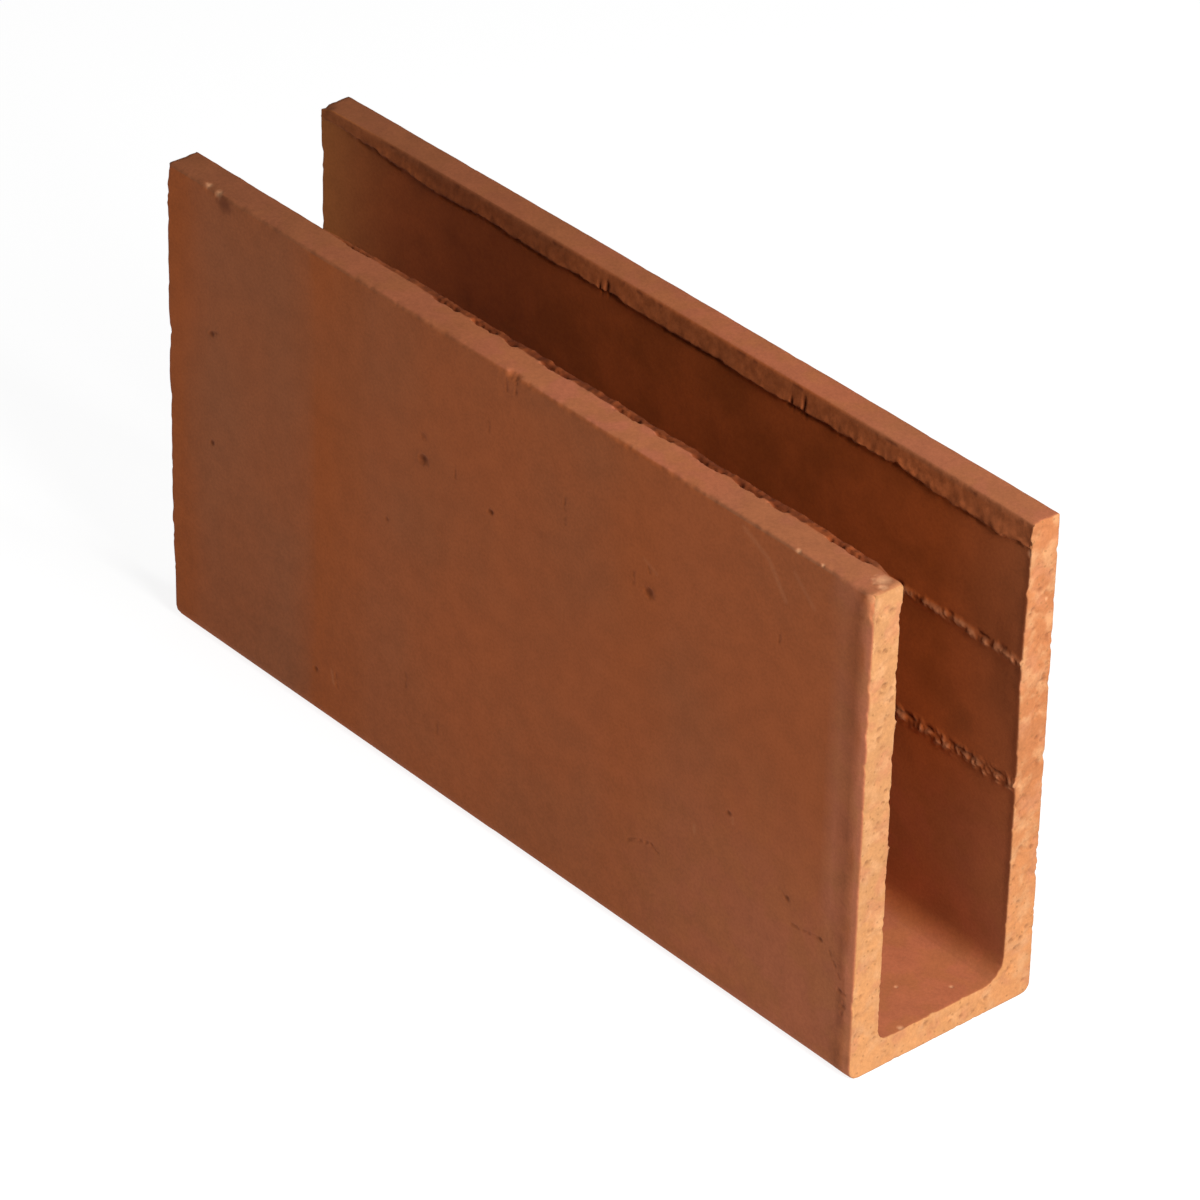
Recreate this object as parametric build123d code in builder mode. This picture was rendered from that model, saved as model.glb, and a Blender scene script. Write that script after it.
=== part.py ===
# Clay U-channel block: one extruded, wire-cut and fired piece of brick clay.
# X runs along the block, Y across it and Z up. The origin is the centre of the bed face.
# The block left the die as a closed box with two webs across it. Its top wall and both webs
# were knocked out to open the channel, and their broken stubs still line the inner faces.

import os

from build123d import *

# Driving dimensions, in millimetres
block_length = 390.0  # between the two wire-cut ends
block_height = 200.0  # from the bed face to the rims
foot_width = 88.0  # over both legs, at the bed face
leg_lean = 1.0  # how far each outer face leans in at its rim
channel_width = 60.0  # clear between the inner faces of the legs
floor_thickness = 11.5
front_root_radius = 5.0  # where the floor meets the front leg
back_root_radius = 9.0  # where the floor meets the back leg
foot_radius = 4.0  # both long edges of the bed face
rim_radius = 1.2  # long edges of the rims
end_arris = 0.8  # worn edges around both cut ends

# Stubs of the two webs, one above the other on each inner face
lower_web_height = 93.0  # bed face to the middle of the stub
upper_web_height = 143.0
web_stub_crest = 4.0  # height of the broken crest
web_stub_root = 9.0  # height of the stub at the leg
web_stub_reach = 2.2  # how far the stub stands out of the leg
web_stub_root_radius = 3.0

# Stub of the top wall, along the inner edge of each rim
rim_stub_crest = 8.0
rim_stub_root = 10.5
rim_stub_reach = 1.8
rim_stub_root_radius = 2.0

crest_radius = 1.0  # broken edges of every stub
cut_overrun = 5.0  # how far the channel's cut runs past the rims

half_foot = foot_width / 2
half_rim = half_foot - leg_lean
half_channel = channel_width / 2
web_crest_line = half_channel - web_stub_reach
rim_crest_line = half_channel - rim_stub_reach
rim_stub_under = block_height - rim_stub_crest
rim_stub_foot = block_height - rim_stub_root


def corners(*places):
    """The vertices of the open sketch that lie nearest to these places."""
    return [vertices().sort_by_distance(place)[0] for place in places]


# Section across the block, seen along X, with Y to the right and Z up
with BuildSketch(Plane.YZ) as section:
    # Solid outline, as wide as the die, with its two legs leaning in
    with BuildLine():
        Polyline(
            (-half_foot, 0),
            (half_foot, 0),
            (half_rim, block_height),
            (-half_rim, block_height),
            close=True,
        )
    make_face()
    fillet(corners((-half_foot, 0), (half_foot, 0)), foot_radius)

    # Channel between the legs
    with Locations((0, floor_thickness)):
        Rectangle(
            channel_width,
            block_height - floor_thickness + cut_overrun,
            align=(Align.CENTER, Align.MIN),
            mode=Mode.SUBTRACT,
        )
    fillet(corners((-half_channel, floor_thickness)), front_root_radius)
    fillet(corners((half_channel, floor_thickness)), back_root_radius)

    # Web stubs: low ridges with a broken crest, at the same heights on both legs
    for web_height in (lower_web_height, upper_web_height):
        for side in (-1, 1):
            root_low = (side * half_channel, web_height - web_stub_root / 2)
            root_high = (side * half_channel, web_height + web_stub_root / 2)
            crest_low = (side * web_crest_line, web_height - web_stub_crest / 2)
            crest_high = (side * web_crest_line, web_height + web_stub_crest / 2)
            with BuildLine():
                Polyline(root_low, crest_low, crest_high, root_high, close=True)
            make_face()
            fillet(corners(crest_low, crest_high), crest_radius)
            fillet(corners(root_low, root_high), web_stub_root_radius)

    # Rim stubs: what is left of the top wall, undercut towards the leg
    for side in (-1, 1):
        rim_inner = (side * half_channel, block_height)
        crest_top = (side * rim_crest_line, block_height)
        crest_under = (side * rim_crest_line, rim_stub_under)
        stub_foot = (side * half_channel, rim_stub_foot)
        with BuildLine():
            Polyline(rim_inner, crest_top, crest_under, stub_foot, close=True)
        make_face()
        fillet(corners(crest_under), crest_radius)
        fillet(corners(stub_foot), rim_stub_root_radius)
        fillet(corners(crest_top, (side * half_rim, block_height)), rim_radius)

# The block itself, cut to length by wires that leave a slightly worn arris
with BuildPart() as u_channel_block:
    extrude(section.sketch, amount=block_length / 2, both=True)
    cut_ends = faces().group_by(Axis.X)
    fillet(cut_ends[0].edges() + cut_ends[-1].edges(), end_arris)

u_channel_block.part.label = "u_channel_block"

os.makedirs("parts", exist_ok=True)
export_step(u_channel_block.part, "parts/u_channel_block.step")
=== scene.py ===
import math
import random

import bmesh
import bpy
from mathutils import Matrix, Vector, noise


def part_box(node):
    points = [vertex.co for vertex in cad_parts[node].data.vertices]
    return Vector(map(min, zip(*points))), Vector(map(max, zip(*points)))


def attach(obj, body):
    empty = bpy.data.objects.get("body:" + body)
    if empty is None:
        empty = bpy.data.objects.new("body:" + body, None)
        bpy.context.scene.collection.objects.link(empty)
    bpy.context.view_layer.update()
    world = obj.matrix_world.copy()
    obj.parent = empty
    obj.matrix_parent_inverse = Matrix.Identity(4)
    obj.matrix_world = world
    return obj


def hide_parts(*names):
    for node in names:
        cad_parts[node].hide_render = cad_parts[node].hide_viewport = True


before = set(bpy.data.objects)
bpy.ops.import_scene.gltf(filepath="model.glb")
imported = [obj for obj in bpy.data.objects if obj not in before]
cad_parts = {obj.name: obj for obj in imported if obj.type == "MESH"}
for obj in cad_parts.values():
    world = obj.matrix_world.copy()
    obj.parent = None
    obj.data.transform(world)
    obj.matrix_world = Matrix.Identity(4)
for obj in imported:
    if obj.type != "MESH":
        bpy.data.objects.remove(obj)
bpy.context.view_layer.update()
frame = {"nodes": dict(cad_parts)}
mm = 0.001  # the block is shaped in millimetres and scaled to metres at the end
front, back = -1, 1  # the two legs, by the sign of y
far, near = -1, 1  # the two cut ends, by the sign of x
print("frame loaded:", ", ".join(frame["nodes"]))


# The block as it left the die: one extruded U of brick clay, cut to length by wires
block = {
    "node": "u_channel_block",
    "body": "root",
    "slot": "fired_clay",
    "channelWidth": 60.0,  # clear between the legs
    "floorThickness": 11.5,
    "legLean": 1.0,  # how far each outer face leans in at its rim
    "backBow": 0.95,  # how far the back leg bows out at the middle of its rim
    "footRadius": {front: 5.5, back: 4.0},
    "rootRadius": {front: 5.0, back: 9.0},  # where the floor meets each leg
    "outerRimRadius": {front: 1.6, back: 0.8},
    "innerRimRadius": {front: 0.6, back: 1.5},
    "endArris": 0.6,
    "roundSegments": 4,
    "arrisSegments": 2,
}

boxLow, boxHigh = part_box(block["node"])
halfLength = boxHigh.x / mm
halfWidth = boxHigh.y / mm
height = boxHigh.z / mm
halfChannel = block["channelWidth"] / 2
floorTop = block["floorThickness"]
legMiddle = (halfChannel + halfWidth) / 2


def ramp(start, stop, value):  # smooth step from 0 at start to 1 at stop, in either direction
    share = min(1.0, max(0.0, (value - start) / (stop - start)))
    return share * share * (3 - 2 * share)


def hump(value, width):  # 1 at zero, fading to 0 at plus and minus width
    share = min(1.0, abs(value) / width)
    return (1 - share * share) ** 2


def swell(place, size, seed):  # smooth rise and fall between -1 and 1, about size mm across
    return noise.noise(Vector(place) / size + Vector((seed * 7.31, seed * 3.17, seed * 5.73)))


def between(stations, value):  # straight lines between listed (place, amount) stations
    for (startAt, startAmount), (stopAt, stopAmount) in zip(stations, stations[1:]):
        if value <= stopAt:
            share = min(1.0, max(0.0, (value - startAt) / (stopAt - startAt)))
            return startAmount + share * (stopAmount - startAmount)
    return stations[-1][1]


def outerFace(z):  # half width of the block's outer faces at a height
    return halfWidth - block["legLean"] * z / height


# Stubs of the knocked-out top wall along the inner edge of each rim
rimStub = {
    "steps": {  # section of each stub, from its root up: depth below the rim, reach into the channel
        front: ((9.0, 0.0), (7.8, 4.6), (0.0, 4.6)),
        back: ((9.4, 0.0), (8.6, 1.3), (0.0, -1.0)),
    },
    "reachShare": {  # how much of that reach is left along the block
        front: (
            (-195, 0.12), (-118, 0.14), (-104, 0.5), (-60, 0.8), (0, 1.0), (60, 0.9), (150, 0.95), (178, 0.8),
            (188, 0.12), (195, 0.12),
        ),
        back: ((-195, 0.1), (-183, 0.2), (-160, 0.8), (-20, 1.0), (110, 0.9), (150, 1.1), (186, 0.9), (195, 0.3)),
    },
    "breakDepth": {  # how far down the break line runs along the block
        front: ((-195, 8.0), (-60, 9.5), (40, 8.0), (195, 9.0)),
        back: (
            (-195, 4.5), (-160, 6.2), (-125, 9.0), (-100, 7.5), (-65, 9.2), (-20, 8.0), (10, 9.3), (25, 8.6),
            (55, 9.7), (100, 9.0), (130, 7.6), (150, 10.0), (195, 10.2),
        ),
    },
    "roughness": {
        front: ((-195, 0.15), (195, 0.15)),
        back: ((-195, 0.08), (105, 0.1), (130, 0.17), (195, 0.2)),
    },
    "edgeLumps": {  # along the broken edge
        front: ((-195, 0.2), (195, 0.2)),
        back: ((-195, 0.2), (-60, 0.25), (100, 0.3), (130, 0.65), (195, 0.65)),
    },
    "raggedReach": {front: 0.16, back: 0.0},  # as a share of the reach
    "raggedDepth": ((-195, 1.1), (-100, 1.0), (-40, 0.8), (90, 0.8), (125, 1.4), (195, 1.5)),
    "fadeBelow": 15.0,  # how far below the break the wall still follows its wander
    "blendFrom": 36.0,  # the rim leans into its stub from this half width inwards
    "undercut": 0.6,
    # painted shadow under the broken edge of each stub, along the block
    "breakShadow": ((-195, 0.45), (-60, 0.55), (80, 0.55), (125, 0.42), (195, 0.38)),
    "stubShade": {front: 0.35, back: 0.0},  # a darker tone on the broken face of the front stub
    "crackDark": 0.55,  # painted shade in short cracks just under the back rim
    "brokenShare": {front: 0.6, back: 0.7},
    "nicks": ((-28.0, 1.2, 4.0), (-32.0, 0.8, 6.0), (78.5, 1.0, 3.0), (72.0, 0.8, 6.0)),  # x, half width, top
    "nickCut": 0.8,
}


def rimStubShift(place, leg):  # move of a place on a stub, how broken the clay is there, and how dark it is painted: painted shadow under the break, painted shade in cracks and nicks, and the front stub's darker tone
    across, depth = abs(place.y), height - place.z
    rootDepth = rimStub["steps"][leg][0][0]
    if across > rimStub["blendFrom"] or depth > rootDepth + rimStub["fadeBelow"]:
        return Vector((0, 0, 0)), 0.0, 0.0
    along = Vector((place.x, 0, 0))
    crumb = Vector((place.x, 0, 0.35 * place.z))
    ragged = swell(along, 9, 8 + leg) + 0.8 * swell(crumb, 2.8, 11 + leg) + 0.4 * swell(crumb, 1.3, 13 + leg)
    follow = depth / rootDepth if depth < rootDepth else 1 - (depth - rootDepth) / rimStub["fadeBelow"]
    wander = follow * (between(rimStub["breakDepth"][leg], place.x) - rootDepth)
    wander += follow ** 3 * between(rimStub["raggedDepth"], place.x) * ragged  # mostly at the broken edge
    lean = ramp(rimStub["blendFrom"], halfChannel + 1, across)
    reach = max(-1.0, halfChannel - across)
    share = between(rimStub["reachShare"][leg], place.x)
    share *= 1 + rimStub["raggedReach"][leg] * (swell(along, 14, 2 + leg) + 0.5 * swell(along, 5, 5 + leg))
    onStub = ramp(rootDepth, rootDepth - 0.8, depth) * ramp(halfChannel + 1.6, halfChannel + 0.6, across)
    push = reach * (share - 1) * lean * ramp(rootDepth + 1, rootDepth, depth)
    rough = between(rimStub["roughness"][leg], place.x)
    flake = Vector((0.5 * place.x, place.y, place.z))  # flakes lie along the rim
    push += rough * onStub * (swell(flake, 3.4, 3) + 0.7 * swell(flake, 1.5, 4))
    lumps = 0.3 + swell(flake, 4.2, 85) + 0.7 * swell(flake, 1.9, 86)
    push += between(rimStub["edgeLumps"][leg], place.x) * lumps * onStub * ramp(rootDepth - 5, rootDepth - 1.5, depth)
    kept = ramp(-0.5, 0.3, swell(along, 11, 15 + leg) + 0.7 * swell(along, 3, 16 + leg))
    kept *= ramp(-184, -165, place.x) * ramp(194, 189, place.x)
    below = hump(depth - rootDepth - 0.2, 1.7)
    push -= rimStub["undercut"] * below * kept
    # painted shadow under the overhanging broken edge
    dark = between(rimStub["breakShadow"], place.x) * hump(depth - rootDepth - 0.1, 1.3 + 0.9 * kept) * kept
    crack = hump(depth - 1.6, 1.2) * ramp(0.25, 0.5, swell(along, 7, 18 + leg) + 0.4 * swell(along, 2, 19 + leg))
    dark = max(dark, rimStub["crackDark"] * crack * ramp(34, 32, across)) if leg == back else dark
    dark = max(dark, rimStub["stubShade"][leg] * onStub)
    if leg == back:
        for nickPlace, nickHalf, nickTop in rimStub["nicks"]:
            inNick = ramp(nickTop - 0.5, nickTop + 2, depth) * ramp(rootDepth + 2.5, rootDepth + 0.5, depth)
            cut = hump(place.x - nickPlace - 0.12 * depth, nickHalf) * inNick * ramp(33, 31.4, across)
            push -= rimStub["nickCut"] * cut
            # painted shade inside the nick
            dark = max(dark, 0.9 * cut)
    return Vector((0, -leg * push, -wander * lean)), onStub, dark


# Slits that the break left along the front rim, with a crumbled lip beyond them; both get painted shade
rimSlits = {
    "runs": (
        (-105, -91), (-53, -40), (-31, -20), (-13, -8), (7, 21), (47, 60), (69, 76), (88, 103), (110, 123),
        (128, 135), (157, 177),
    ),
    "line": 29.0,  # half width at which the slits open
    "width": 1.3,
    "depth": 2.2,
    # painted shade in the slits
    "slitDark": 0.65,
    "lipDrop": 0.6,
    # painted shade on the lip, which lies dim below the rim
    "lipShade": 0.8,
}


def rimSlitDrop(place):  # how far the front rim sinks in its slits and along its crumbled lip, and the painted shade in the slits and on the lip
    across = abs(place.y)
    if across > rimSlits["line"] + 2.5:
        return 0.0, 0.0, 0.0
    opened = 0.0
    for start, stop in rimSlits["runs"]:
        opened = max(opened, ramp(start - 1.5, start + 1.5, place.x) * ramp(stop + 1.5, stop - 1.5, place.x))
    wander = 0.4 * swell((place.x, 0, 0), 6, 21) + 0.3 * swell((place.x, 0, 0), 2, 22)
    slit = opened * hump(across - rimSlits["line"] - wander, rimSlits["width"] * (1 + 0.5 * swell(place, 2.5, 27)))
    kept = min(1.0, between(rimStub["reachShare"][front], place.x))
    lip = kept * ramp(rimSlits["line"] + 0.6, rimSlits["line"] - 0.6, across + 0.4 * swell(place, 3, 25))
    crumbs = max(0.0, 0.9 + swell(place, 6, 23) + 0.6 * swell(place, 2.2, 24))
    shade = rimSlits["lipShade"] * lip * (0.6 + 0.4 * ramp(0.2, 1.2, crumbs))
    drop = rimSlits["depth"] * slit + rimSlits["lipDrop"] * lip * crumbs
    return drop, lip, max(shade, rimSlits["slitDark"] * slit)


# Scars of the two knocked-out webs on both inner faces: a row of crumbs with broken hollows above it; the hollows and
# gaps get painted shade, and the crumbs paler broken clay with a painted highlight
webScar = {
    "heights": (93.5, 144.5),
    "reach": 1.35,
    "halfHeights": (4.6, 2.7),  # the lower scar is broader
    "crumbsFrom": (-0.3, -0.55),  # and its crumbs stand further apart
    "crumbSizes": (3.3, 1.4),
    "hollowRise": 1.7,  # from the row of crumbs up to the hollows
    "hollowHalf": 1.0,
    "hollowDepth": 0.6,
    "brokenShare": 0.6,
    # paler broken clay on the crumbs, partly a painted highlight where they face the light
    "paleness": 0.22,
    "taper": 5.0,  # the scar swells out of the wall over this height below
}


def webScarShift(place, leg):
    push, broken, dark = 0.0, 0.0, 0.0
    rows = zip(webScar["heights"], webScar["halfHeights"], webScar["crumbsFrom"])
    for web, halfHeight, crumbsFrom in rows:
        rise = place.z - web - 0.9 * swell((place.x, leg, web), 14, 31) - 0.4 * swell((place.x, leg, web), 4, 32)
        if not -webScar["taper"] - 2 < rise < 7:
            continue
        spot = Vector((place.x, leg * 9, 1.3 * rise + web))
        lumps = swell(spot, webScar["crumbSizes"][0], 33) + 0.8 * swell(spot, webScar["crumbSizes"][1], 34)
        crumb = ramp(crumbsFrom, crumbsFrom + 1.0, lumps) * hump(rise, halfHeight)
        root = 0.25 * ramp(-webScar["taper"], 0, rise) * ramp(1.6, 0.4, rise)
        hollow = hump(rise - webScar["hollowRise"], webScar["hollowHalf"])
        hollow *= ramp(-0.05, 0.3, swell((place.x, leg, web), 5.5, 37))
        push += webScar["reach"] * (0.75 * crumb + root) - webScar["hollowDepth"] * hollow
        broken = max(broken, ramp(0.15, 0.75, crumb))
        # painted shade in the hollows above the crumbs and in the gaps between them
        gaps = hump(rise - 0.3, 0.8 * halfHeight) * ramp(0.1, -0.35, lumps)
        dark = max(dark, 0.7 * hollow, 0.4 * gaps)
    return push, broken, dark


# Painted shadow on the back leg's inner face, in a strip beside the near end, and soot that the kiln left further in
endShadowAndSoot = {
    # the painted shadow strip: how far it runs from the end, and its strength
    "run": 5.0,
    "strength": 0.4,
    "clouds": ((-100.0, 75.0, 0.28),),  # soft soot further in: place, half length, darkness
}


# Marks on the front face: pits (x, z, radius, depth) and scratches (start x, z, stop x, z, half width, depth)
frontMarks = {
    "pits": (
        (-41.9, 142.5, 2.7, 0.9), (82.5, 146.7, 2.9, 0.8), (-3.4, 138.3, 1.6, 0.7), (-167.9, 138.1, 1.7, 0.6),
        (-168.5, 90.4, 1.5, 0.6), (-62.6, 107.2, 1.4, 0.35), (-105.0, 20.6, 1.6, 0.5), (159.4, 59.5, 1.6, 0.55),
        (127.9, 78.3, 1.5, 0.5), (177.0, 51.8, 1.4, 0.5), (-42.0, 152.1, 2.2, 0.25), (188.4, 36.2, 1.6, 0.5),
        (190.3, 30.5, 1.7, 0.45),
    ),
    "scratches": (
        (36.8, 162.8, 36.9, 158.8, 1.2, 0.3), (37.1, 155.0, 37.2, 153.0, 1.0, 0.2),
        (162.6, 50.2, 177.0, 51.8, 1.1, 0.3), (182.3, 49.6, 188.0, 41.3, 1.0, 0.25),
        (188.4, 36.2, 190.9, 35.8, 1.1, 0.3), (190.7, 32.5, 189.9, 27.0, 1.1, 0.35),
        (156.0, 61.2, 159.4, 59.5, 1.0, 0.3), (-167.9, 139.5, -164.8, 139.6, 1.0, 0.3),
        (82.0, 157.5, 82.6, 155.0, 1.0, 0.2), (74.4, 151.0, 74.4, 146.5, 1.3, 0.12),
        (75.5, 39.4, 82.6, 42.6, 1.3, 0.25), (82.6, 42.6, 88.1, 43.8, 1.3, 0.3), (88.1, 43.8, 91.6, 42.4, 1.4, 0.35),
        (149.7, 164.0, 149.9, 159.5, 1.0, 0.2), (9.5, 197.5, 9.2, 193.0, 1.2, 0.3), (4.0, 196.5, 4.2, 192.0, 1.2, 0.25),
        (-23.6, 146.0, -23.7, 141.5, 1.0, 0.15), (-5.0, 175.5, -5.0, 171.0, 1.0, 0.15),
        (-50.9, 45.3, -50.9, 40.0, 1.3, 0.12), (-32.5, 33.9, -32.4, 28.6, 1.3, 0.12), (-92.8, 24.0, -92.0, 19.0, 1.4, 0.25),
    ),
    # painted shade in the pits and scratches
    "paintedShadeAndStain": 0.6,
    "scratchDark": 0.25,
    "scuffs": (  # start x, z, stop x, z, half width, paleness
        (130.0, 196.0, 143.0, 189.5, 1.7, 0.1), (143.0, 189.5, 152.0, 177.5, 1.7, 0.1),
        (156.0, 190.5, 166.0, 181.5, 1.5, 0.08), (80.0, 159.0, 86.5, 156.0, 1.2, 0.07),
        (-95.4, 24.5, -94.2, 19.4, 1.1, 0.13), (110.6, 64.0, 110.6, 61.0, 1.0, 0.13),
        (130.1, 77.5, 130.3, 75.0, 0.9, 0.11),
    ),
    "stains": (  # x, z, radius, darkness
        (-158.8, 196.6, 5.4, 0.6), (-168.0, 138.0, 3.4, 0.15), (82.5, 148.0, 5.2, 0.2), (-42.0, 152.0, 3.6, 0.13),
        (-42.0, 142.0, 4.4, 0.22), (25.3, 142.2, 2.6, 0.12), (190.5, 32.0, 6.0, 0.14), (195.0, 9.0, 4.2, 0.25),
    ),
}


def fromLine(x, z, startX, startZ, stopX, stopZ):  # distance of a point of the face from a short line
    start = Vector((startX, startZ))
    line = Vector((stopX, stopZ)) - start
    share = min(1.0, max(0.0, (Vector((x, z)) - start).dot(line) / line.length_squared))
    return (Vector((x, z)) - start - share * line).length


def frontMarkDepth(place):
    sunk, dark = 0.0, 0.0
    ragged = 1 + 0.35 * swell(place, 1.5, 41)
    for x, z, radius, depth in frontMarks["pits"]:
        pit = hump(math.hypot(0.75 * (place.x - x), place.z - z) * ragged, radius)
        sunk = max(sunk, depth * pit)
        # painted shade in the pit
        dark = max(dark, pit * min(frontMarks["paintedShadeAndStain"], depth))
    for startX, startZ, stopX, stopZ, halfLine, depth in frontMarks["scratches"]:
        scratch = hump(fromLine(place.x, place.z, startX, startZ, stopX, stopZ) * ragged, halfLine)
        scratch *= ramp(-0.5, 0.2, swell(place, 1.6, 42))
        sunk = max(sunk, depth * scratch)
        dark = max(dark, frontMarks["scratchDark"] * scratch)
    for x, z, radius, darkness in frontMarks["stains"]:
        dark = max(dark, darkness * hump(math.hypot(0.75 * (place.x - x), place.z - z) * ragged, radius))
    pale = 0.0
    for startX, startZ, stopX, stopZ, halfLine, paleness in frontMarks["scuffs"]:
        pale = max(pale, paleness * hump(fromLine(place.x, place.z, startX, startZ, stopX, stopZ), halfLine))
    return sunk, dark, pale


# Chips along the outer edges of the rims: place along the edge, half length, depth
rimChips = {
    front: (
        (7.2, 4.5, 1.0), (-31.2, 7.0, 0.5), (68.9, 3.0, 0.4), (-58.0, 3.0, 0.35), (-72.9, 4.5, 0.4), (93.2, 4.0, 0.35),
        (112.9, 5.0, 0.4), (-168.0, 5.0, 0.5), (-130.0, 4.0, 0.3), (140.0, 3.0, 0.3),
    ),
    back: ((-120.0, 4.0, 0.2), (-20.0, 6.0, 0.2), (60.0, 4.0, 0.2), (130.0, 3.5, 0.2)),
    "span": 4.0,  # how far a chip reaches from the edge
    "unrubbed": 0.7,
    "wear": {front: 0.45, back: 0.12},  # small unevenness all along
}


def rimChipDepth(place, leg):
    edge = math.hypot(outerFace(height) - abs(place.y), height - place.z)
    if edge > rimChips["span"]:
        return 0.0
    chip = rimChips["wear"][leg] * max(0.0, 0.2 + swell(place, 9, 44) + 0.6 * swell(place, 3, 46))
    for x, half, depth in rimChips[leg]:
        chip = max(chip, depth * hump(place.x - x + 1.5 * swell(place, 3, 43), half))
    return chip * ramp(rimChips["span"], 0.5, edge) * (1 + 0.5 * swell(place, 1.6, 45))


# Pale flecks where a crumb of skin came off: x, y, z, radius
paleFlecks = (
    (156.8, -42.6, 199.8, 1.7), (168.8, -42.2, 199.8, 1.1), (188.6, -33.6, 200.0, 4.2), (191.6, -36.0, 199.7, 2.6),
    (-170.0, -41.6, 200.0, 2.0), (-163.0, -42.6, 199.7, 2.8), (174.5, -2.6, 11.5, 1.1), (186.8, 12.6, 11.5, 1.1),
    (193.6, -18.0, 11.5, 1.8), (194.2, 30.0, 188.5, 1.6), (194.6, 39.0, 167.0, 1.2),
)


def fleckAt(place):
    ragged = 1 + 0.4 * swell(place, 1.2, 47)
    return max(hump((place - Vector(spot[:3])).length * ragged, spot[3]) for spot in paleFlecks)


# The two cut ends: how the wires and handling left them
cutEnds = {
    "short": {(near, front): 0.1, (near, back): 0.15, (far, front): 0.1, (far, back): 0.55},  # mean loss of length
    "ragged": {near: 0.12, far: 0.55},
    "shiftRun": 40.0,  # length over which an end's shift fades out
    "roughness": 0.1,
    "nibble": 1.25,  # loss along the inner edges
    "nibbleRun": 3.0,
    "bulge": (140.0, 40.0, 0.9, 16.0),  # near end of the back leg's inner face: height, half height, depth, length
    "outerRound": {near: 0.7, far: 0.8},  # outer arris of the front leg
    "cornerRound": {near: 4.2, far: 2.4},  # and at its rim
    "cornerHeight": 14.0,
    "topRound": {(near, front): 2.6, (near, back): 0.9, (far, front): 2.8, (far, back): 2.2},
    "turnIn": 0.55,  # the front face turns in by this much over its last few mm at the near end
    "turnInRun": 4.2,
    "ridge": 0.16,  # behind which the wire's drag left it a little proud
    "ridgeRun": 8.0,
    # painted shade along the far side of that ridge
    "ridgeShade": 0.3,
    "stripHighlight": 0.05,  # painted highlight on the rounded arris beside the near end
    "footRound": 4.5,  # lower corner of the front leg at the far end
    "footLean": (45.0, 1.6),  # and how the cut leans in above it: height, loss of length
    "footSpan": (-20.0, -40.0),  # across the block, where that starts and is full
    "notch": (7.0, 34.6, 32.2, 1.3),  # far end of the back rim: length, half widths where it starts and is full, depth
    "poreCount": 84,  # pores on each end
    "poreRadius": (0.8, 1.8),
    "poreDepth": 0.6,
    # painted shade in the pores
    "poreDark": 0.42,
    "poreSeed": 12,
}


def poresOnEnds():  # places (y, z, radius) of the pores on each end
    dice = random.Random(cutEnds["poreSeed"])
    pores = {}
    for end in (far, near):
        pores[end] = []
        while len(pores[end]) < cutEnds["poreCount"]:
            y = dice.uniform(-halfWidth + 2.5, halfWidth - 2.5)
            z = dice.uniform(2.0, height - 3)
            if abs(y) > halfChannel + 1.5 or z < floorTop - 2:
                pores[end].append((y, z, dice.uniform(*cutEnds["poreRadius"])))
    return pores


endPores = poresOnEnds()


def poreHole(place, end):
    deepest = 0.0
    for y, z, radius in endPores[end]:
        if abs(place.y - y) < radius and abs(place.z - z) < radius:
            away = math.hypot(place.y - y, place.z - z) * (1 + 0.4 * swell(place, 0.9, 53))
            deepest = max(deepest, hump(away, radius) * radius / cutEnds["poreRadius"][1])
    return deepest


def endShort(place, end):  # how far an end stops short of the full length
    loss = {}
    for leg in (front, back):
        edge = (0, 3 * leg, place.z)
        ragged = cutEnds["ragged"][end] * (0.4 + swell(edge, 15, 51) + 0.6 * swell(edge, 5, 52))
        loss[leg] = cutEnds["short"][end, leg] + max(-0.1, ragged)
    backShare = ramp(-halfChannel, halfChannel, place.y)
    short = loss[front] * (1 - backShare) + loss[back] * backShare
    if end == far:
        radius = cutEnds["footRound"]
        foot = max(0.0, radius - place.z)
        leanHeight, leanLoss = cutEnds["footLean"]
        lost = radius - math.sqrt(radius * radius - foot * foot) + leanLoss * max(0.0, 1 - place.z / leanHeight)
        short += lost * ramp(*cutEnds["footSpan"], place.y)
    return short


def roundArris(inFromFirst, inFromSecond, radius):  # moves a corner back onto its worn radius
    first, second = inFromFirst - radius, inFromSecond - radius
    reach = math.hypot(first, second)
    if first >= 0 or second >= 0 or reach <= radius:
        return 0.0, 0.0
    return radius + first * radius / reach - inFromFirst, radius + second * radius / reach - inFromSecond


def wornEndShift(place, leg, end):  # rounding of an end's outer and top arrises
    fromEnd, fromFace, depth = halfLength - abs(place.x), outerFace(place.z) - abs(place.y), height - place.z
    shift = Vector((0, 0, 0))
    if fromEnd > 8:
        return shift
    if leg == front and fromFace < 8:
        corner = ramp(cutEnds["cornerHeight"], 1.0, depth)
        radius = cutEnds["outerRound"][end]
        radius += corner * (cutEnds["cornerRound"][end] - radius) + 0.2 * swell(place, 9, 81)
        loss, turned = roundArris(fromEnd, fromFace, radius)
        shift += Vector((-end * loss, -leg * turned, 0))
        if end == near:
            shift.y -= leg * cutEnds["turnIn"] * max(0.0, 1 - fromEnd / cutEnds["turnInRun"]) * ramp(3, 0, fromFace)
    if depth < 8:
        loss, drop = roundArris(fromEnd, depth, cutEnds["topRound"][end, leg] * (1 + 0.25 * swell(place, 4, 83)))
        shift += Vector((-end * loss, 0, -drop))
    if end == far and leg == back and depth < 12:
        length, outer, inner, drop = cutEnds["notch"]
        shift.z -= drop * ramp(length, 1.5, fromEnd) * ramp(outer, inner, abs(place.y)) * ramp(12, 2, depth)
    return shift


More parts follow.
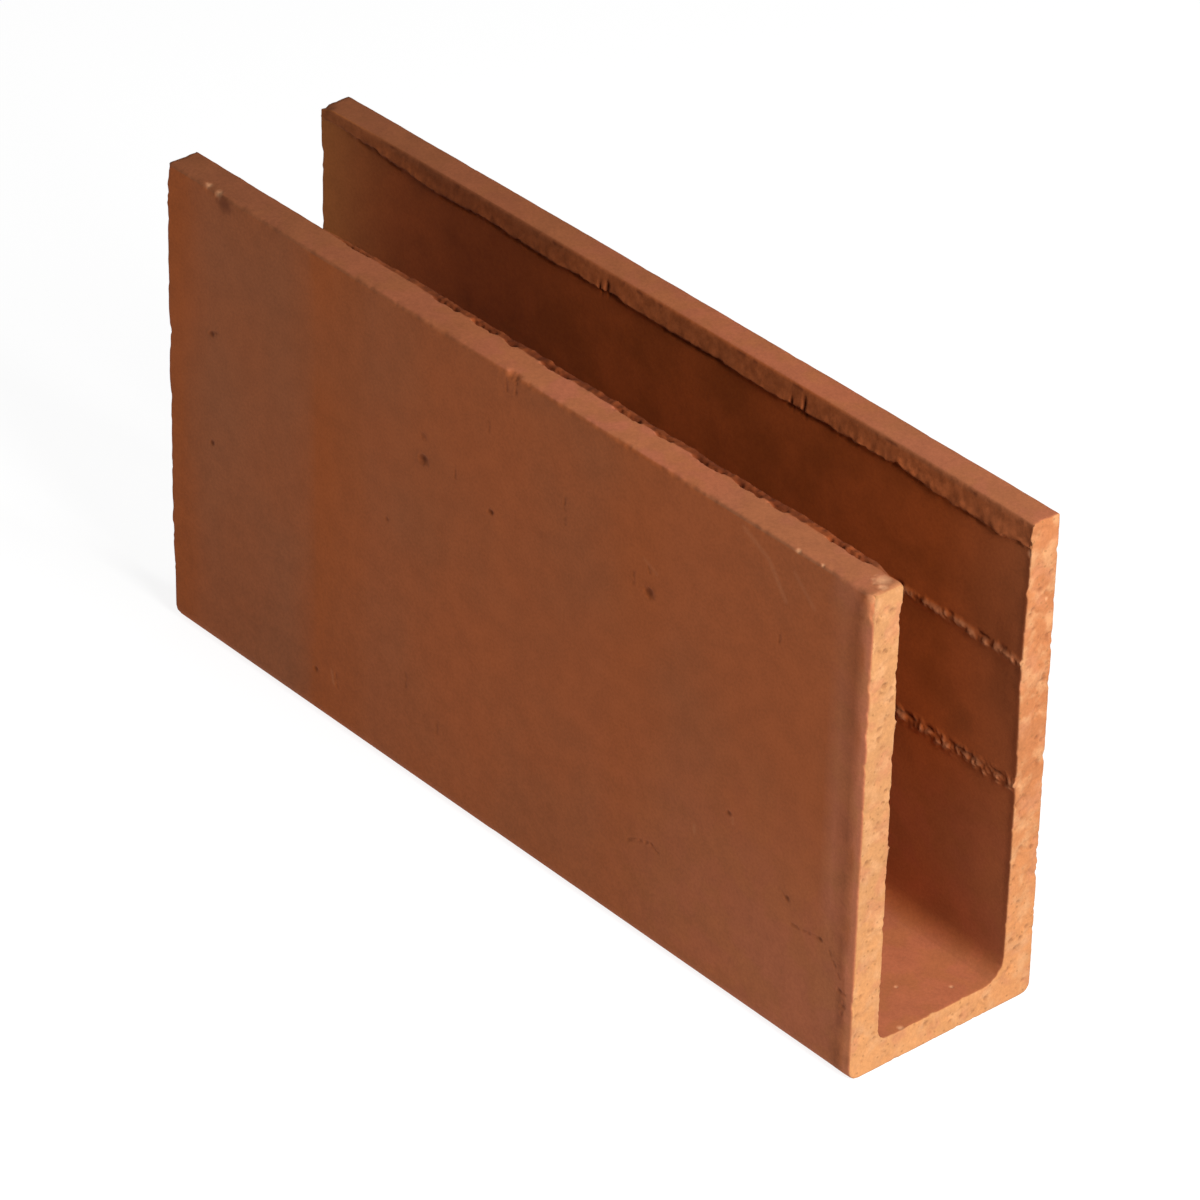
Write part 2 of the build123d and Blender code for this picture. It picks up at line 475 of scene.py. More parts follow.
# Kiln flashing on the outer faces, as upright bands: middle, half width and softness in mm, strength; then greyer rims
# and tones along the back leg's inner face, which are partly painted shade and painted light
kilnBandsAndPaintedLight = {
    "warm": ((-100.0, 7.0, 4.0, 0.65), (-90.0, 14.0, 10.0, 0.5), (-191.0, 9.0, 6.0, 0.7), (75.0, 14.0, 20.0, 0.3)),
    "grey": ((-145.0, 30.0, 20.0, 0.6), (-66.0, 16.0, 18.0, 0.2), (183.5, 6.0, 6.0, 0.35)),
    "pale": ((183.5, 6.0, 8.0, 0.9),),
    # greyer rims towards both ends; towards the far end this is also painted shade where the light falls off
    "greyRimsAndFalloff": ((-195, 0.8), (-100, 0.7), (-20, 0.35), (12, 0.0), (85, 0.0), (118, 0.9), (195, 0.9)),
    "nearEndShadeInside": ((-195, 0.0), (150, 0.0), (180, 0.38), (195, 0.5)),  # the back leg's inner face: greyer near the open near end, a browner tone and painted shade where the key light reaches in
    # painted light on the back leg's inner face, coming in at the open far end, in an olive-tan tone
    "farEndLightInside": ((-195, 1.0), (-172, 0.45), (-150, 0.15), (-100, 0.0), (195, 0.0)),
    "wander": 3.0,
}


def bandStrength(kind, place):
    x = place.x + kilnBandsAndPaintedLight["wander"] * swell((place.x, 0, place.z), 60, 91)
    strength = 0.0
    for middle, half, soft, most in kilnBandsAndPaintedLight[kind]:
        strength = max(strength, most * ramp(half + soft / 2, half - soft / 2, abs(x - middle)))
    return strength * (0.75 + 0.5 * swell(place, 34, 92))


# Mesh sizes in mm, fine where the clay is broken, cut or worn
cells = {
    "plain": 6.5,
    "end": {near: 0.85, far: 1.7},
    "rim": 1.4,
    "outerEdge": {front: 0.7, back: 1.4},
    "innerEdge": {front: 0.55, back: 0.9},
    "stub": {front: 1.5, back: 0.9},
    "lip": {front: 1.2, back: 0.55},
    "web": {front: 1.8, back: 1.3},
    "seenWeb": 0.65,  # on the back leg near the near end
    "seenFrom": 95.0,
    "foot": 3.0,
    "mark": 0.5,
    "softMark": 1.0,
    "pore": 0.4,
    "growth": 0.55,  # how fast cells grow away from a fine place
    "stretch": 1.45,  # an edge this many cells long is cut in two
    "boxSide": 16.0,  # fine spots are looked up in boxes of this size
}


def fineSpots():  # places of small marks with their radius and cell size, by box
    spots = []
    for kind, size in (("pits", cells["mark"]), ("stains", cells["softMark"])):
        spots += [(Vector((x, -outerFace(z), z)), radius, size) for x, z, radius, amount in frontMarks[kind]]
    for kind, size in (("scratches", cells["mark"]), ("scuffs", cells["softMark"])):
        for startX, startZ, stopX, stopZ, halfLine, amount in frontMarks[kind]:
            for step in range(9):
                x, z = startX + (stopX - startX) * step / 8, startZ + (stopZ - startZ) * step / 8
                spots.append((Vector((x, -outerFace(z), z)), halfLine, size))
    spots += [(Vector(spot[:3]), spot[3], cells["mark"]) for spot in paleFlecks]
    spots += [(Vector((near * halfLength, y, z)), radius, cells["pore"]) for y, z, radius in endPores[near]]
    boxes = {}
    for spot in spots:
        reach = spot[1] + 0.5 + (cells["plain"] - spot[2]) / cells["growth"]
        low, high = boxOf(spot[0] - Vector((reach, reach, reach))), boxOf(spot[0] + Vector((reach, reach, reach)))
        for across in range(low[0], high[0] + 1):
            for deep in range(low[1], high[1] + 1):
                for up in range(low[2], high[2] + 1):
                    boxes.setdefault((across, deep, up), []).append(spot)
    return boxes


def boxOf(place):
    return tuple(math.floor(value / cells["boxSide"]) for value in place)


spotBoxes = fineSpots()


def cellSize(place):
    grow = cells["growth"]
    leg = back if place.y > 0 else front
    end = near if place.x > 0 else far
    across, depth, fromEnd = abs(place.y), height - place.z, halfLength - abs(place.x)
    size = min(cells["plain"], cells["end"][end] + grow * max(0.0, fromEnd - 1.5))
    if depth < 30:
        size = min(size, cells["rim"] + grow * max(0.0, depth - 3))
        toOuter = math.hypot(across - outerFace(place.z), depth)
        size = min(size, cells["outerEdge"][leg] + grow * max(0.0, toOuter - 2.0))
        toInner = math.hypot(max(0.0, across - halfChannel - 0.5), depth)
        size = min(size, cells["innerEdge"][leg] + grow * max(0.0, toInner - 1.5))
        if across < halfChannel + 3:
            rootDepth = rimStub["steps"][leg][0][0]
            size = min(size, cells["stub"][leg] + grow * max(0.0, depth - rootDepth - 1))
            size = min(size, cells["lip"][leg] + grow * max(0.0, abs(depth - rootDepth) - 1.2))
    if across < halfChannel + 3 and place.z > floorTop + 3:
        seen = leg == back and place.x > cells["seenFrom"]
        webCell = cells["seenWeb"] if seen else cells["web"][leg]
        for web in webScar["heights"]:
            size = min(size, webCell + grow * max(0.0, abs(place.z - web) - 5))
    if place.z < 12 and across > halfChannel + 3:
        size = min(size, cells["foot"] + grow * max(0.0, place.z - 6))
    for spot, radius, fine in spotBoxes.get(boxOf(place), ()):
        size = min(size, fine + grow * max(0.0, (place - spot).length - radius - 0.5))
    return size


def allOf(bm):
    return bm.verts[:] + bm.edges[:] + bm.faces[:]


def runsAlong(edge):  # edges that run the length of the block
    return abs(edge.verts[0].co.x - edge.verts[1].co.x) > halfLength


def raiseTop(bm, top, leg, depth, reach):  # extrudes a leg's top face up to a depth below the rim
    raised = bmesh.ops.extrude_face_region(bm, geom=top)["geom"]
    bmesh.ops.delete(bm, geom=top, context="FACES_ONLY")
    for vert in raised:
        if isinstance(vert, bmesh.types.BMVert):
            vert.co.z = height - depth
            if abs(vert.co.y) < legMiddle:
                vert.co.y = leg * (halfChannel - reach)
    return [face for face in raised if isinstance(face, bmesh.types.BMFace)]


def extrudeBlock():
    bm = bmesh.new()
    bmesh.ops.create_cube(bm, size=1.0)
    bmesh.ops.scale(bm, vec=(2 * halfLength, 2 * halfWidth, floorTop), verts=bm.verts)
    bmesh.ops.translate(bm, vec=(0, 0, floorTop / 2), verts=bm.verts)
    for leg in (front, back):  # part the legs from the channel floor
        bmesh.ops.bisect_plane(bm, geom=allOf(bm), plane_co=(0, leg * halfChannel, 0), plane_no=(0, 1, 0))
    for leg in (front, back):
        top = [face for face in bm.faces if face.normal.z > 0.9 and face.calc_center_median().y * leg > halfChannel]
        for depth, reach in rimStub["steps"][leg]:
            top = raiseTop(bm, top, leg, depth, reach)
    for vert in bm.verts:  # the outer faces lean in
        if abs(vert.co.y) > legMiddle:
            vert.co.y = math.copysign(outerFace(vert.co.z), vert.co.y)
    bmesh.ops.dissolve_limit(bm, angle_limit=math.radians(0.5), verts=bm.verts, edges=bm.edges)
    bm.normal_update()
    return bm


def roundEdges(bm):
    def roundThese(edges, radius, segments):
        bmesh.ops.bevel(
            bm, geom=edges, offset=radius, offset_type="OFFSET", segments=segments, profile=0.5,
            affect="EDGES", material=-1, clamp_overlap=False,
        )

    def longEdges(leg, isPlace):
        middles = [(edge, (edge.verts[0].co + edge.verts[1].co) / 2) for edge in bm.edges if runsAlong(edge)]
        return [edge for edge, middle in middles if middle.y * leg > 0 and isPlace(abs(middle.y), middle.z)]

    for leg in (front, back):
        feet = longEdges(leg, lambda across, z: z < 1 and across > legMiddle)
        roundThese(feet, block["footRadius"][leg], block["roundSegments"])
        roots = longEdges(leg, lambda across, z: abs(z - floorTop) < 1 and across < legMiddle)
        roundThese(roots, block["rootRadius"][leg], block["roundSegments"])
        outerRim = longEdges(leg, lambda across, z: z > height - 0.1 and across > legMiddle)
        roundThese(outerRim, block["outerRimRadius"][leg], block["roundSegments"])
        innerRim = longEdges(leg, lambda across, z: z > height - 0.1 and across < halfChannel + 1.1)
        roundThese(innerRim, block["innerRimRadius"][leg], block["roundSegments"])
    atEnds = [edge for edge in bm.edges if min(abs(vert.co.x) for vert in edge.verts) > halfLength - 0.01]
    outline = [edge for edge in atEnds if not runsAlong(edge)]
    roundThese(outline, block["endArris"], block["arrisSegments"])


def meshBlock(bm):  # an even grid first, then finer cells where the clay needs them
    columns = round(2 * halfLength / cells["plain"])
    bmesh.ops.subdivide_edges(bm, edges=[edge for edge in bm.edges if runsAlong(edge)], cuts=columns - 1)
    for axis, low, high in ((1, -halfWidth, halfWidth), (2, 0, height)):
        cuts = round((high - low) / cells["plain"])
        normal = Vector((0, 0, 0))
        normal[axis] = 1
        for cut in range(1, cuts):
            place = normal * (low + (high - low) * cut / cuts)
            bmesh.ops.bisect_plane(bm, geom=allOf(bm), plane_co=place, plane_no=normal, dist=0.01)
    bmesh.ops.triangulate(bm, faces=[face for face in bm.faces if len(face.verts) > 4])
    for turn in range(8):
        tooLong = []
        for edge in bm.edges:
            start, stop = edge.verts
            if edge.calc_length() > cells["stretch"] * cellSize((start.co + stop.co) / 2):
                tooLong.append(edge)
        if not tooLong:
            break
        bmesh.ops.subdivide_edges(bm, edges=tooLong, cuts=1, use_grid_fill=True, use_single_edge=True)
    bmesh.ops.triangulate(bm, faces=bm.faces)
    bm.normal_update()
    print("block meshed:", len(bm.faces), "triangles")


# Waves and wear of the whole skin, in mm, with painted bounce light and painted shade among them
skinWearAndPaintedLight = {
    "longWave": (42.0, 0.06),  # size, depth
    "shortWave": (9.0, 0.03),
    "rubbedFloor": 0.72,
    "insideDustAndBounce": 0.4,  # dust low in the channel, and painted bounce light from its floor
    "frontFloorBounce": 0.6,  # painted bounce light from the floor, low on the front face near the near end
    "frontShade": 0.1,  # and painted shade low near the far end
    "rubbedRimAndFalloff": {  # more wear towards the near end; the fall towards the far end is also painted shade where the light falls off
        front: ((-195, 0.1), (-150, 0.25), (-100, 0.5), (-60, 0.55), (-20, 0.65), (16, 1.0), (80, 1.0), (115, 0.5), (195, 0.55)),
        back: ((-195, 0.2), (-110, 0.3), (-60, 0.5), (-20, 0.6), (16, 0.8), (80, 0.85), (115, 0.6), (195, 0.65)),
    },
    "fleckDepth": 0.3,
    "fleckPale": 0.8,
}

# colour marks per point; besides real wear, stains and kiln tones, several carry painted light and shade, as their
# names say
markNames = (
    "brokenClay", "wireCut", "paintedShadeAndStain", "rubbedAndLit", "paleFleckAndHighlight", "warmBand", "greyBandAndShade", "oliveFarEndLight", "innerBounceTint",
)


def weatherVert(place, facing):  # where a point of the fresh block ends up, and what marks the clay there
    leg = back if place.y > 0 else front
    end = near if place.x > 0 else far
    across, depth, fromEnd = abs(place.y), height - place.z, halfLength - abs(place.x)
    fromFace = outerFace(place.z) - across
    outward, inward = facing.y * leg, -facing.y * leg
    marks = dict.fromkeys(markNames, 0.0)

    def note(name, amount):
        marks[name] = max(marks[name], amount)

    cut = ramp(0.35, 0.8, abs(facing.x))
    note("wireCut", cut * (ramp(0.0, 0.5, fromFace) if leg == front else 1.0))
    lip = 0.0
    shift = Vector((0, 0, 0))
    if facing.z > -0.5:  # soft waves from the die and the drying racks, not on the bed
        for seed, (size, deep) in enumerate((skinWearAndPaintedLight["longWave"], skinWearAndPaintedLight["shortWave"])):
            shift -= facing * deep * (1 + swell(place, size, 61 + seed)) * (1 - cut)
    if leg == back:
        shift.y += block["backBow"] * (1 - (place.x / halfLength) ** 2) * (place.z / height) ** 2
    if outward > 0.3 or place.z > height - 3:
        note("warmBand", bandStrength("warm", place))
        note("greyBandAndShade", bandStrength("grey", place))
    # greyer rims, and painted shade on them towards the far end
    if facing.z > 0.3 and depth < 3:
        note("greyBandAndShade", between(kilnBandsAndPaintedLight["greyRimsAndFalloff"], place.x) * ramp(28.5, 31, across))

    if across < halfChannel + 2 and place.z > floorTop:
        # painted bounce light: inward faces of the channel get a redder, brighter tone that stands in for light bounced
        # between its walls
        note("innerBounceTint", ramp(0.5, 0.95, inward) * ramp(-215, -130, place.x))
        if leg == back and inward > 0.5:
            # painted shade near the near end, where the key light reaches in, with a browner tone
            note("greyBandAndShade", between(kilnBandsAndPaintedLight["nearEndShadeInside"], place.x))
            # painted light near the far end, where light comes in at the open end
            note("oliveFarEndLight", between(kilnBandsAndPaintedLight["farEndLightInside"], place.x))
            for sootPlace, sootHalf, sootDark in endShadowAndSoot["clouds"]:
                note("paintedShadeAndStain", sootDark * hump(place.x - sootPlace, sootHalf) * (1 + 0.4 * swell(place, 22, 39)))
        # dust, and painted bounce light from the channel floor, low on the inner faces
        note("rubbedAndLit", skinWearAndPaintedLight["insideDustAndBounce"] * ramp(100, 45, place.z))
    if leg == front and outward > 0.5:
        # painted bounce light from the floor
        note("rubbedAndLit", skinWearAndPaintedLight["frontFloorBounce"] * ramp(20, 170, place.x) * ramp(120, 20, place.z))
        # painted shade low near the far end
        note("paintedShadeAndStain", skinWearAndPaintedLight["frontShade"] * ramp(-10, -120, place.x) * ramp(80, 15, place.z))
        note("rubbedAndLit", bandStrength("pale", place) * (0.55 + 0.45 * ramp(150, 60, place.z)))

    # breaks along the inner faces and the front rim
    if place.z > floorTop + 1 and across < rimStub["blendFrom"]:
        move, broken, dark = rimStubShift(place, leg)
        shift += move
        note("brokenClay", broken * rimStub["brokenShare"][leg] * ramp(0.95, 0.6, facing.z))
        note("paintedShadeAndStain", dark * (1 - cut) * ramp(0.95, 0.6, facing.z))
        if inward > 0.5:
            push, broken, dark = webScarShift(place, leg)
            shift.y -= leg * push
            note("brokenClay", webScar["brokenShare"] * broken)
            # paler crumbs: broken clay, and partly a painted highlight
            note("paleFleckAndHighlight", webScar["paleness"] * broken)
            note("paintedShadeAndStain", dark)
            # painted shadow in a strip along the near end's inner arris
            if leg == back and end == near:
                endShadow = ramp(endShadowAndSoot["run"], 1.0, fromEnd + 1.5 * swell(place, 7, 38)) * (1 - broken)
                note("paintedShadeAndStain", endShadowAndSoot["strength"] * endShadow * ramp(15, 60, place.z) * ramp(0, 16, depth))
        if leg == back and end == near:
            bulgeHeight, bulgeHalf, bulgeDepth, bulgeRun = cutEnds["bulge"]
            bulged = hump(place.z - bulgeHeight, bulgeHalf) * ramp(bulgeRun, 1.0, fromEnd)
            shift.y -= bulgeDepth * bulged * ramp(rimStub["blendFrom"], halfChannel + 1, across)
    if leg == front and depth < 4.5 and across < rimSlits["line"] + 2.5:
        drop, lip, slit = rimSlitDrop(place)
        shift.z -= drop * ramp(4.5, 0.5, depth)
        lip *= ramp(0.2, 0.6, facing.z)
        # the crumbled lip takes the same painted bounce tint
        note("innerBounceTint", lip)
        note("brokenClay", 0.4 * lip)
        note("paintedShadeAndStain", slit * ramp(0.2, 0.6, facing.z))

    # marks on the front face and chips off the rims
    if leg == front and outward > 0.5 and end == near:
        past = fromEnd - cutEnds["turnInRun"]
        shift.y -= leg * cutEnds["ridge"] * ramp(0, cutEnds["ridgeRun"], past)
        inLine = hump(past - 2.2 - swell((0, 0, place.z), 8, 95), 3.0)
        # painted shade along the ridge's side away from the light
        note("paintedShadeAndStain", cutEnds["ridgeShade"] * inLine * ramp(-0.9, 0.4, swell((0, 0, place.z), 7, 96)))
        # painted highlight on the rounded arris that faces the key light
        litStrip = ramp(0.6, -1.2, past + 0.8 * swell((0, 0, place.z), 10, 97))
        note("rubbedAndLit", litStrip)
        note("paleFleckAndHighlight", cutEnds["stripHighlight"] * litStrip)
    if leg == front and outward > 0.5:
        sunk, dark, pale = frontMarkDepth(place)
        shift.y -= leg * sunk
        note("paintedShadeAndStain", dark)
        note("paleFleckAndHighlight", pale)
    chip = rimChipDepth(place, leg)
    shift += Vector((0, -leg * chip, -chip)) * 0.7
    fleck = fleckAt(place)
    shift -= facing * skinWearAndPaintedLight["fleckDepth"] * fleck
    note("paleFleckAndHighlight", skinWearAndPaintedLight["fleckPale"] * fleck)
    # rubbed paler, and on the rims less so towards the far end as painted shade
    if facing.z > 0:
        wornAndFalloff = skinWearAndPaintedLight["rubbedFloor"] if depth > 6 else between(skinWearAndPaintedLight["rubbedRimAndFalloff"][leg], place.x)
        wornAndFalloff *= (1 - lip) * (1 - rimChips["unrubbed"] * ramp(0.15, 0.5, chip))
        note("rubbedAndLit", wornAndFalloff * ramp(0.6, 0.95, facing.z))

    # drag of the wire, open pores and nibbled inner edges
    if cut > 0:
        drag = cutEnds["roughness"] * (1 + swell(place, 2.6, 71) + 0.7 * swell(place, 1.1, 72))
        hole = poreHole(place, end)
        shift.x -= end * cut * (drag + cutEnds["poreDepth"] * hole)
        # painted shade in the open pores
        note("paintedShadeAndStain", cutEnds["poreDark"] * hole)
    run = cutEnds["nibbleRun"]
    innerEdge = max(ramp(halfChannel + run, halfChannel, across), ramp(floorTop - run, floorTop, place.z))
    if fromEnd < run:
        nibble = max(0.0, swell(place, 6, 75) + 0.6 * swell(place, 2.2, 76) - 0.1)
        shift.x -= end * cutEnds["nibble"] * nibble * innerEdge * ramp(run, 0.5, fromEnd)
    shift += wornEndShift(place, leg, end)
    if end == near and leg == front and depth < 3:
        note("wireCut", 0.5 * ramp(4.5, 1.0, fromEnd + 1.5 * swell(place, 4, 77)))
    shift.x -= end * max(0.0, 1 - fromEnd / cutEnds["shiftRun"]) * endShort(place, end)

    moved = place + shift
    limits = Vector((halfLength, halfWidth, height))
    for axis, lowest in enumerate((-halfLength, -halfWidth, 0.0)):
        moved[axis] = min(limits[axis], max(lowest, moved[axis]))
    return moved, marks


def weatherBlock(bm):  # breaks, wire cuts, wear and marks, all pushed into the clay
    layers = {name: bm.verts.layers.float.new(name) for name in markNames}
    for vert in bm.verts:
        vert.co, marks = weatherVert(vert.co.copy(), vert.normal.copy())
        for name, amount in marks.items():
            vert[layers[name]] = amount


def makeBlock(clay):
    bm = extrudeBlock()
    roundEdges(bm)
    print("block extruded and rounded:", len(bm.faces), "faces")
    meshBlock(bm)
    weatherBlock(bm)
    print("block weathered")
    bmesh.ops.scale(bm, vec=(mm, mm, mm), verts=bm.verts)
    bmesh.ops.recalc_face_normals(bm, faces=bm.faces)
    for face in bm.faces:
        face.smooth = True
    mesh = bpy.data.meshes.new("firedBlock")
    bm.to_mesh(mesh)
    bm.free()
    mesh.materials.append(clay)
    piece = bpy.data.objects.new("fired_block", mesh)
    bpy.context.scene.collection.objects.link(piece)
    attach(piece, block["body"])
    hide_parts(block["node"])
    return piece


def linear(code):  # sRGB hex to the linear colour that the nodes take
    channels = [int(code[start:start + 2], 16) / 255 for start in (1, 3, 5)]
    return [c / 12.92 if c <= 0.04045 else ((c + 0.055) / 1.055) ** 2.4 for c in channels] + [1.0]


def addNode(tree, kind, feeds=None, **settings):  # one node, its settings, and what each input gets
    node = tree.nodes.new(kind)
    for name, value in settings.items():
        setattr(node, name, value)
    for socket, feed in (feeds or {}).items():
        if isinstance(feed, bpy.types.NodeSocket):
            tree.links.new(feed, node.inputs[socket])
        else:
            node.inputs[socket].default_value = feed
    return node


mixFactor, mixFirst, mixSecond, mixColour = 0, 6, 7, 2  # sockets of a colour Mix node

# Brick clay, pressed through a die, wire-cut and fired: a matt red-brown skin with soft kiln clouds and upright
# bands, rims and floor rubbed paler, pale sandy wire-cut ends with open pores, and crumbly clay where walls broke off.
# Painted light and shade are mixed into the colour too: a redder bounce tint inside the channel, paler paint where
# light falls or bounces, and dark paint for the shade in slits, hollows, cracks, pits, pores and under the breaks
clayFinish = {
    "skin": "#954E28",
    "skinCloud": "#8D4D2A",
    "skinWarm": "#954A1C",
    # painted bounce light on the channel's inner faces, in two tones mixed by soot clouds
    "skinInnerBounce": "#A34E1F",
    "skinInnerBounceSoot": "#934619",
    # grey of the kiln bands, also used for painted shade on the far rims and inside near the near end
    "skinGrey": "#865134",
    # olive-tan tone of the painted light on the back leg's inner face near the far end
    "skinOlive": "#9F5D2C",
    # paler tone of rubbed wear, also used for painted light: bounce light low in the channel and on the front face, and
    # the highlight beside the near end
    "rubbedAndLit": "#A35D40",
    "rubbedTan": "#9F5E3B",
    "cutFront": "#A07047",
    "cutBack": "#9A5F39",
    "cutPink": "#A36A48",
    "cutPale": "#B08058",
    "cutFoot": "#B57C4D",
    "cutSpeck": "#7A5430",
    "broken": "#92502D",
    "brokenDark": "#7E4323",
    # pale tone of flecks and scuffs, also used for painted highlights on the web crumbs and beside the near end
    "fleck": "#C48D66",
    # dark tone for painted shade in slits, hollows, cracks, nicks, pits, pores and under the breaks, and for stains and
    # soot
    "pit": "#461705",
    "footPale": 110.0,  # mm, the ends are paler below this height
    "cloud": 60.0,  # mm, kiln clouds
    "sootCloud": 26.0,
    "rubPatch": 13.0,
    "mottle": 9.0,
    "mottleShade": 0.1,
    "sandPatch": 7.0,
    "crumb": 3.0,
    "grain": 1.2,
    "speck": 2.8,
    "speckSize": 0.22,  # radius of a speck as a share of that
    "grainShade": 0.17,
    "bumpDepth": 0.25,  # mm
    "bumpStrength": 0.35,
    "roughness": 0.9,
    "sheen": 0.15,  # specular level
}


def perMetre(size):  # noise scale that gives features about this many millimetres across
    return 1 / (size * mm)


def brickClay():
    material = bpy.data.materials.new("fired_brick_clay")
    material.use_nodes = True
    tree = material.node_tree
    tree.nodes.clear()
    place = addNode(tree, "ShaderNodeTexCoord").outputs["Object"]
    tone = {name: linear(code) for name, code in clayFinish.items() if isinstance(code, str)}

    def noiseOf(size, detail, roughness=0.5):
        settings = {"Vector": place, "Scale": perMetre(size), "Detail": detail, "Roughness": roughness}
        return addNode(tree, "ShaderNodeTexNoise", settings).outputs["Fac"]

    def steps(value, low, high, start=0.0, stop=1.0):
        spread = {"Value": value, "From Min": low, "From Max": high, "To Min": start, "To Max": stop}
        return addNode(tree, "ShaderNodeMapRange", spread, interpolation_type="SMOOTHSTEP").outputs["Result"]

    def mixed(factor, first, second, blend="MIX"):
        feeds = {mixFactor: factor, mixFirst: first, mixSecond: second}
        return addNode(tree, "ShaderNodeMix", feeds, data_type="RGBA", blend_type=blend).outputs[mixColour]

    def mark(name):
        return addNode(tree, "ShaderNodeAttribute", attribute_name=name).outputs["Fac"]

    colour = mixed(steps(noiseOf(clayFinish["cloud"], 4), 0.35, 0.7), tone["skin"], tone["skinCloud"])
    # painted bounce light: the redder inner tone of the channel
    inner = mixed(steps(noiseOf(clayFinish["sootCloud"], 4), 0.4, 0.65), tone["skinInnerBounce"], tone["skinInnerBounceSoot"])
    colour = mixed(mark("innerBounceTint"), colour, inner)
    colour = mixed(mark("warmBand"), colour, tone["skinWarm"])
    # kiln grey, and painted shade
    colour = mixed(mark("greyBandAndShade"), colour, tone["skinGrey"])
    # painted light coming in at the far end
    colour = mixed(mark("oliveFarEndLight"), colour, tone["skinOlive"])
    rubbedAndLit = mixed(steps(noiseOf(clayFinish["rubPatch"], 3), 0.4, 0.6), tone["rubbedAndLit"], tone["rubbedTan"])
    # rubbed wear, and painted light
    colour = mixed(mark("rubbedAndLit"), colour, rubbedAndLit)
    crumbs = steps(noiseOf(clayFinish["crumb"], 4), 0.35, 0.65)
    colour = mixed(mark("brokenClay"), colour, mixed(crumbs, tone["brokenDark"], tone["broken"]))

    axes = addNode(tree, "ShaderNodeSeparateXYZ", {"Vector": place}).outputs
    sand = mixed(steps(axes["Y"], 0.3 * halfChannel * mm, 1.2 * halfChannel * mm), tone["cutFront"], tone["cutBack"])
    sand = mixed(steps(axes["Z"], clayFinish["footPale"] * mm, 0.0, 0.0, 0.7), sand, tone["cutFoot"])
    sand = mixed(steps(noiseOf(clayFinish["rubPatch"], 3), 0.5, 0.65, 0.0, 0.7), sand, tone["cutPink"])
    sand = mixed(steps(noiseOf(clayFinish["sandPatch"], 4), 0.45, 0.7, 0.0, 0.7), sand, tone["cutPale"])
    cell = addNode(tree, "ShaderNodeTexVoronoi", {"Vector": place, "Scale": perMetre(clayFinish["speck"])})
    specks = steps(cell.outputs["Distance"], clayFinish["speckSize"], clayFinish["speckSize"] / 2, 0.0, 0.5)
    colour = mixed(mark("wireCut"), colour, mixed(specks, sand, tone["cutSpeck"]))
    # pale flecks and scuffs, and painted highlights
    colour = mixed(mark("paleFleckAndHighlight"), colour, tone["fleck"])
    # painted shade, and stains and soot, in one dark tone
    colour = mixed(mark("paintedShadeAndStain"), colour, tone["pit"])

    grain = noiseOf(clayFinish["grain"], 4, roughness=0.7)
    for shades, depth in ((grain, clayFinish["grainShade"]), (noiseOf(clayFinish["mottle"], 5), clayFinish["mottleShade"])):
        colour = mixed(1.0, colour, steps(shades, 0.3, 0.7, 1 - depth / 2, 1 + depth / 2), "MULTIPLY")

    bump = addNode(tree, "ShaderNodeBump", {
        "Height": grain, "Strength": clayFinish["bumpStrength"], "Distance": clayFinish["bumpDepth"] * mm,
    })
    shader = addNode(tree, "ShaderNodeBsdfPrincipled", {
        "Base Color": colour, "Roughness": clayFinish["roughness"], "Specular IOR Level": clayFinish["sheen"],
        "Normal": bump.outputs["Normal"],
    })
    addNode(tree, "ShaderNodeOutputMaterial", {"Surface": shader.outputs["BSDF"]})
    print("clay mixed:", len(tree.nodes), "nodes")
    return material


# Plain pale floor, soft studio light and the photograph's camera
studio = {
    "floorSide": 12.0,
    "floorColour": "#7F7F7F",
    "floorGlow": 0.88,  # the floor is a light table
    "worldColour": "#FFFFFF",
    "worldStrength": 0.184,
    "keyPlace": (1.17, -0.06, 0.85),
    "keyTarget": (0.05, 0.0, 0.12),
    "keySize": 0.74,
    "keyPower": 32.0,
}


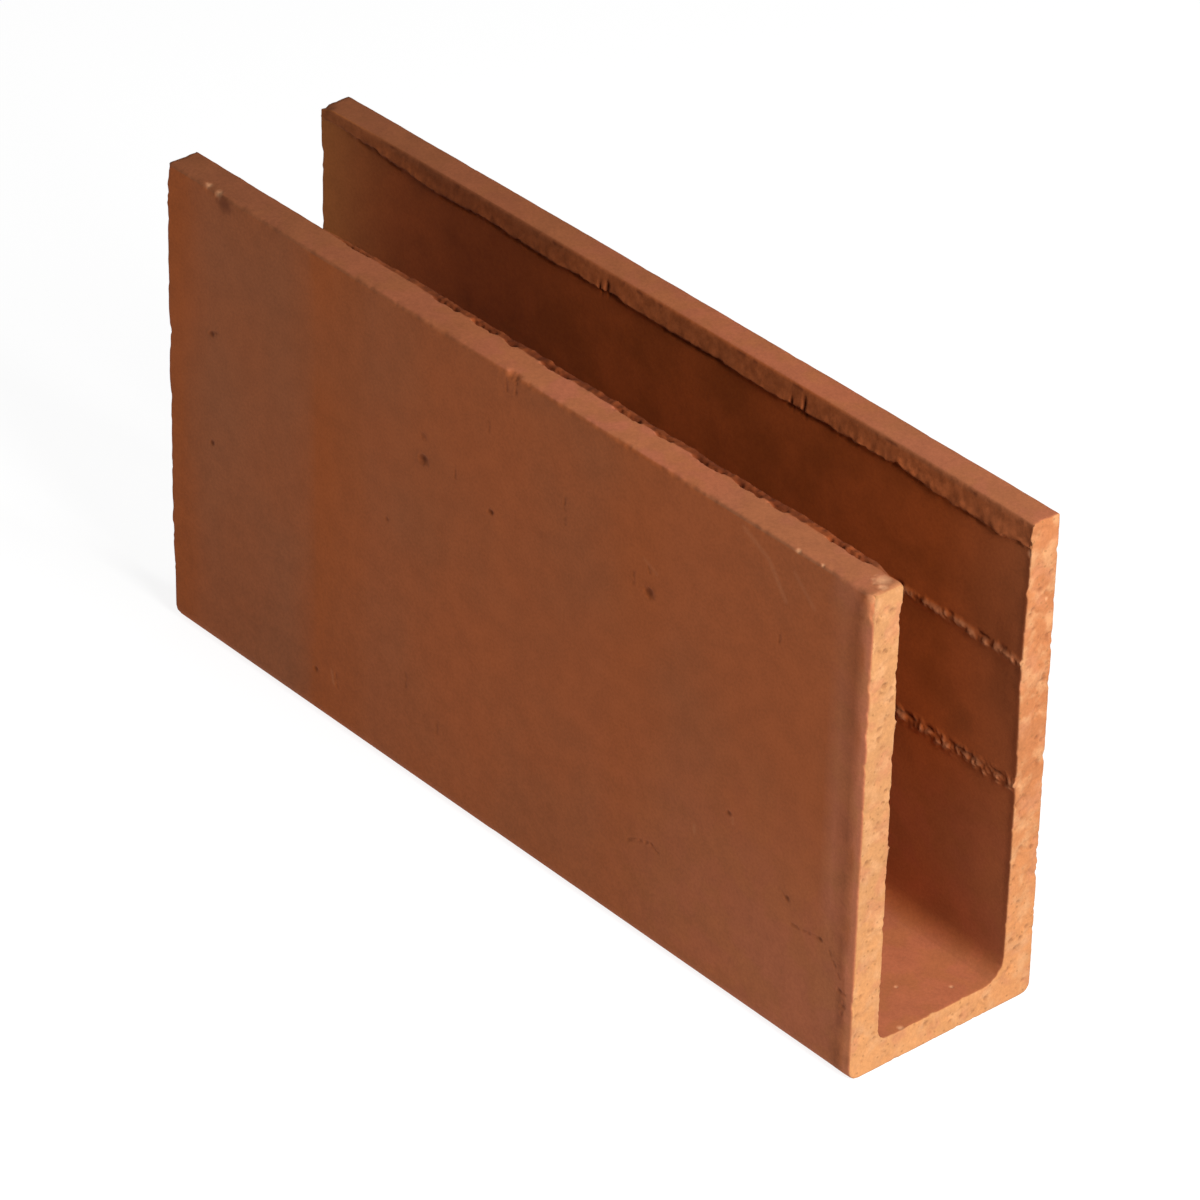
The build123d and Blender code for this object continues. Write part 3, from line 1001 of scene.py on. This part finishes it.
def makeStudio():
    scene = bpy.context.scene
    scene.view_settings.view_transform = "Standard"
    bm = bmesh.new()
    bmesh.ops.create_grid(bm, x_segments=1, y_segments=1, size=studio["floorSide"] / 2)
    mesh = bpy.data.meshes.new("floor")
    bm.to_mesh(mesh)
    bm.free()
    floor = bpy.data.objects.new("floor", mesh)
    scene.collection.objects.link(floor)
    paint = bpy.data.materials.new("pale_light_table")
    paint.use_nodes = True
    tree = paint.node_tree
    tree.nodes.clear()
    matt = addNode(tree, "ShaderNodeBsdfDiffuse", {"Color": linear(studio["floorColour"])}).outputs["BSDF"]
    glow = addNode(tree, "ShaderNodeEmission", {"Strength": studio["floorGlow"]}).outputs["Emission"]
    both = addNode(tree, "ShaderNodeAddShader", {0: matt, 1: glow}).outputs["Shader"]
    addNode(tree, "ShaderNodeOutputMaterial", {"Surface": both})
    mesh.materials.append(paint)

    world = bpy.data.worlds.new("soft_room")
    world.use_nodes = True
    world.node_tree.nodes.clear()
    sky = addNode(world.node_tree, "ShaderNodeBackground", {
        "Color": linear(studio["worldColour"]), "Strength": studio["worldStrength"],
    })
    addNode(world.node_tree, "ShaderNodeOutputWorld", {"Surface": sky.outputs["Background"]})
    scene.world = world

    lamp = bpy.data.lights.new("key", "AREA")
    lamp.shape = "DISK"
    lamp.size = studio["keySize"]
    lamp.energy = studio["keyPower"]
    key = bpy.data.objects.new("key", lamp)
    key.location = studio["keyPlace"]
    aim = Vector(studio["keyTarget"]) - key.location
    key.rotation_euler = aim.to_track_quat("-Z", "Y").to_euler()
    scene.collection.objects.link(key)
    print("studio lit")


camera = {
    "place": (1.4075, -1.2183, 1.2632),
    "azimuth": 48.97,
    "elevation": 32.31,
    "roll": -1.27,
    "fieldOfView": 11.367,
}


def makeCamera():
    azimuth, elevation, roll = (math.radians(camera[name]) for name in ("azimuth", "elevation", "roll"))
    behind = Vector((math.sin(azimuth) * math.cos(elevation), -math.cos(azimuth) * math.cos(elevation), math.sin(elevation)))
    right = Vector((math.cos(azimuth), math.sin(azimuth), 0))
    up = behind.cross(right)
    turned = Matrix((right, up, behind)).transposed() @ Matrix.Rotation(-roll, 3, "Z")
    lens = bpy.data.cameras.new("camera")
    lens.sensor_fit = "HORIZONTAL"
    lens.angle = math.radians(camera["fieldOfView"])
    lens.clip_start, lens.clip_end = 0.05, 50
    view = bpy.data.objects.new("camera", lens)
    view.matrix_world = Matrix.Translation(camera["place"]) @ turned.to_4x4()
    bpy.context.scene.collection.objects.link(view)
    bpy.context.scene.camera = view


makeBlock(brickClay())
makeStudio()
makeCamera()
